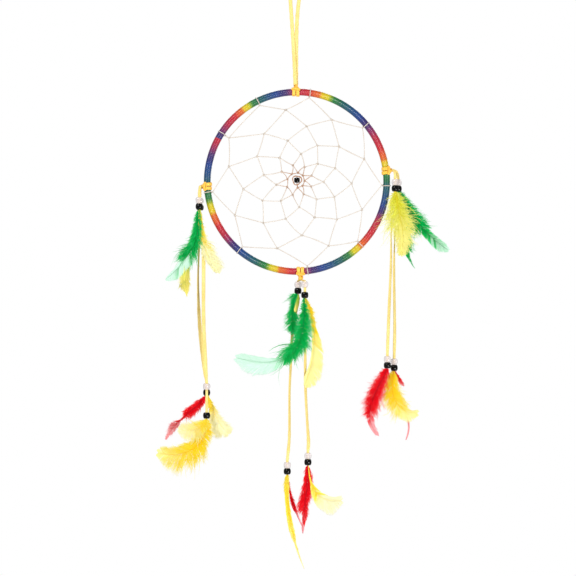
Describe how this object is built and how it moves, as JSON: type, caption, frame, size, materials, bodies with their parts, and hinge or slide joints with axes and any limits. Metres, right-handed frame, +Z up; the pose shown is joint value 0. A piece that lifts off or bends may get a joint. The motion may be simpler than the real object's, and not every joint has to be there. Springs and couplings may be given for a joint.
{
  "type": "dream catcher",
  "caption": "Yarn-wound hoop with a woven thread web, hung from a lace loop, with three swinging lace pendants of beads and dyed feathers.",
  "frame": {"origin": "inside top of the hanging loop, where a peg or hook carries it", "axes": "+Z up, the front of the hoop faces -Y, +X to the right seen from the front"},
  "size_m": [0.2496, 0.0128, 0.5153],
  "materials": {
    "lace": "soft suede-like flat lace",
    "knot_lace": "soft suede-like flat lace, folded",
    "ring_steel": "bare wire",
    "dyed_yarn": "shiny space-dyed yarn, wound close",
    "waxed_thread": "waxed thread",
    "clear_bead": "clear moulded plastic",
    "black_bead": "gloss",
    "green_feather": "dyed feather",
    "yellow_feather": "dyed feather",
    "two_colour_feather": "dyed feather",
    "red_feather": "dyed feather"
  },
  "bodies": {
    "hanging_loop": {"hanging_loop": "lace"},
    "top_knot": {"top_knot": "knot_lace"},
    "hoop": {"ring_core": "ring_steel", "ring_wrapping": "dyed_yarn", "web_thread": "waxed_thread", "web_bead": "black_bead", "left_knot": "knot_lace", "bottom_knot": "knot_lace", "right_knot": "knot_lace"},
    "left_pendant": {"left_upper_laces": "lace", "left_upper_clear_beads": "clear_bead", "left_upper_black_beads": "black_bead", "left_green_feather": "green_feather", "left_two_colour_feather": "two_colour_feather", "left_yellow_feather": "yellow_feather"},
    "left_front_strand": {"left_front_lace": "lace", "left_front_clear_bead": "clear_bead", "left_front_black_bead": "black_bead", "left_front_yellow_feather": "yellow_feather", "left_front_curled_feather": "yellow_feather"},
    "left_back_strand": {"left_back_lace": "lace", "left_back_clear_bead": "clear_bead", "left_back_black_bead": "black_bead", "left_back_red_feather": "red_feather", "left_back_yellow_feather": "yellow_feather"},
    "bottom_pendant": {"bottom_upper_laces": "lace", "bottom_upper_clear_beads": "clear_bead", "bottom_upper_front_black_bead": "black_bead", "bottom_upper_back_black_bead": "black_bead", "bottom_green_feather": "green_feather", "bottom_green_tuft": "green_feather", "bottom_small_feather": "two_colour_feather", "bottom_yellow_feather": "yellow_feather"},
    "bottom_front_strand": {"bottom_front_lace": "lace", "bottom_front_clear_bead": "clear_bead", "bottom_front_black_bead": "black_bead", "bottom_front_red_feather": "red_feather", "bottom_front_spoon_feather": "yellow_feather"},
    "bottom_back_strand": {"bottom_back_lace": "lace", "bottom_back_clear_bead": "clear_bead", "bottom_back_black_bead": "black_bead", "bottom_back_yellow_feather": "yellow_feather", "bottom_back_red_feather": "red_feather"},
    "right_pendant": {"right_upper_laces": "lace", "right_upper_clear_beads": "clear_bead", "right_upper_black_beads": "black_bead", "right_yellow_feather": "yellow_feather", "right_yellow_wisp": "yellow_feather", "right_green_feather": "green_feather", "right_green_wisp": "green_feather"},
    "right_front_strand": {"right_front_lace": "lace", "right_front_clear_bead": "clear_bead", "right_front_black_bead": "black_bead", "right_front_red_feather": "red_feather", "right_front_red_wisp": "red_feather"},
    "right_back_strand": {"right_back_lace": "lace", "right_back_clear_bead": "clear_bead", "right_back_black_bead": "black_bead", "right_back_yellow_feather": "yellow_feather", "right_back_red_feather": "red_feather"}
  },
  "joints": [
    {"name": "hoop_turn", "type": "hinge", "parent": "hanging_loop", "child": "top_knot", "pos_m": [-0.001, 0, -0.0993], "axis": [0, 0, 1], "range_deg": [-180, 180]},
    {"name": "hoop_tilt", "type": "hinge", "parent": "top_knot", "child": "hoop", "pos_m": [-0.001, 0, -0.105], "axis": [1, 0, 0], "range_deg": [-60, 60]},
    {"name": "left_pendant_swing", "type": "hinge", "parent": "hoop", "child": "left_pendant", "pos_m": [-0.08179, 0, -0.18603], "axis": [1, 0, 0], "range_deg": [-60, 60]},
    {"name": "bottom_pendant_swing", "type": "hinge", "parent": "hoop", "child": "bottom_pendant", "pos_m": [0.00296, 0, -0.26524], "axis": [1, 0, 0], "range_deg": [-60, 60]},
    {"name": "right_pendant_swing", "type": "hinge", "parent": "hoop", "child": "right_pendant", "pos_m": [0.08133, 0, -0.17262], "axis": [1, 0, 0], "range_deg": [-60, 60]},
    {"name": "left_front_sway", "type": "hinge", "parent": "left_pendant", "child": "left_front_strand", "pos_m": [-0.08379, -0.0033, -0.20603], "axis": [0, -1, 0], "range_deg": [-45, 10]},
    {"name": "left_back_sway", "type": "hinge", "parent": "left_pendant", "child": "left_back_strand", "pos_m": [-0.08319, 0.0033, -0.20653], "axis": [0, -1, 0], "range_deg": [-45, 10]},
    {"name": "bottom_front_sway", "type": "hinge", "parent": "bottom_pendant", "child": "bottom_front_strand", "pos_m": [0.00666, -0.0033, -0.28184], "axis": [0, -1, 0], "range_deg": [-15, 15]},
    {"name": "bottom_back_sway", "type": "hinge", "parent": "bottom_pendant", "child": "bottom_back_strand", "pos_m": [0.00086, 0.0033, -0.27824], "axis": [0, -1, 0], "range_deg": [-15, 15]},
    {"name": "right_front_sway", "type": "hinge", "parent": "right_pendant", "child": "right_front_strand", "pos_m": [0.08413, -0.0033, -0.19052], "axis": [0, -1, 0], "range_deg": [-10, 45]},
    {"name": "right_back_sway", "type": "hinge", "parent": "right_pendant", "child": "right_back_strand", "pos_m": [0.08703, 0.0033, -0.19052], "axis": [0, -1, 0], "range_deg": [-10, 45]}
  ]
}
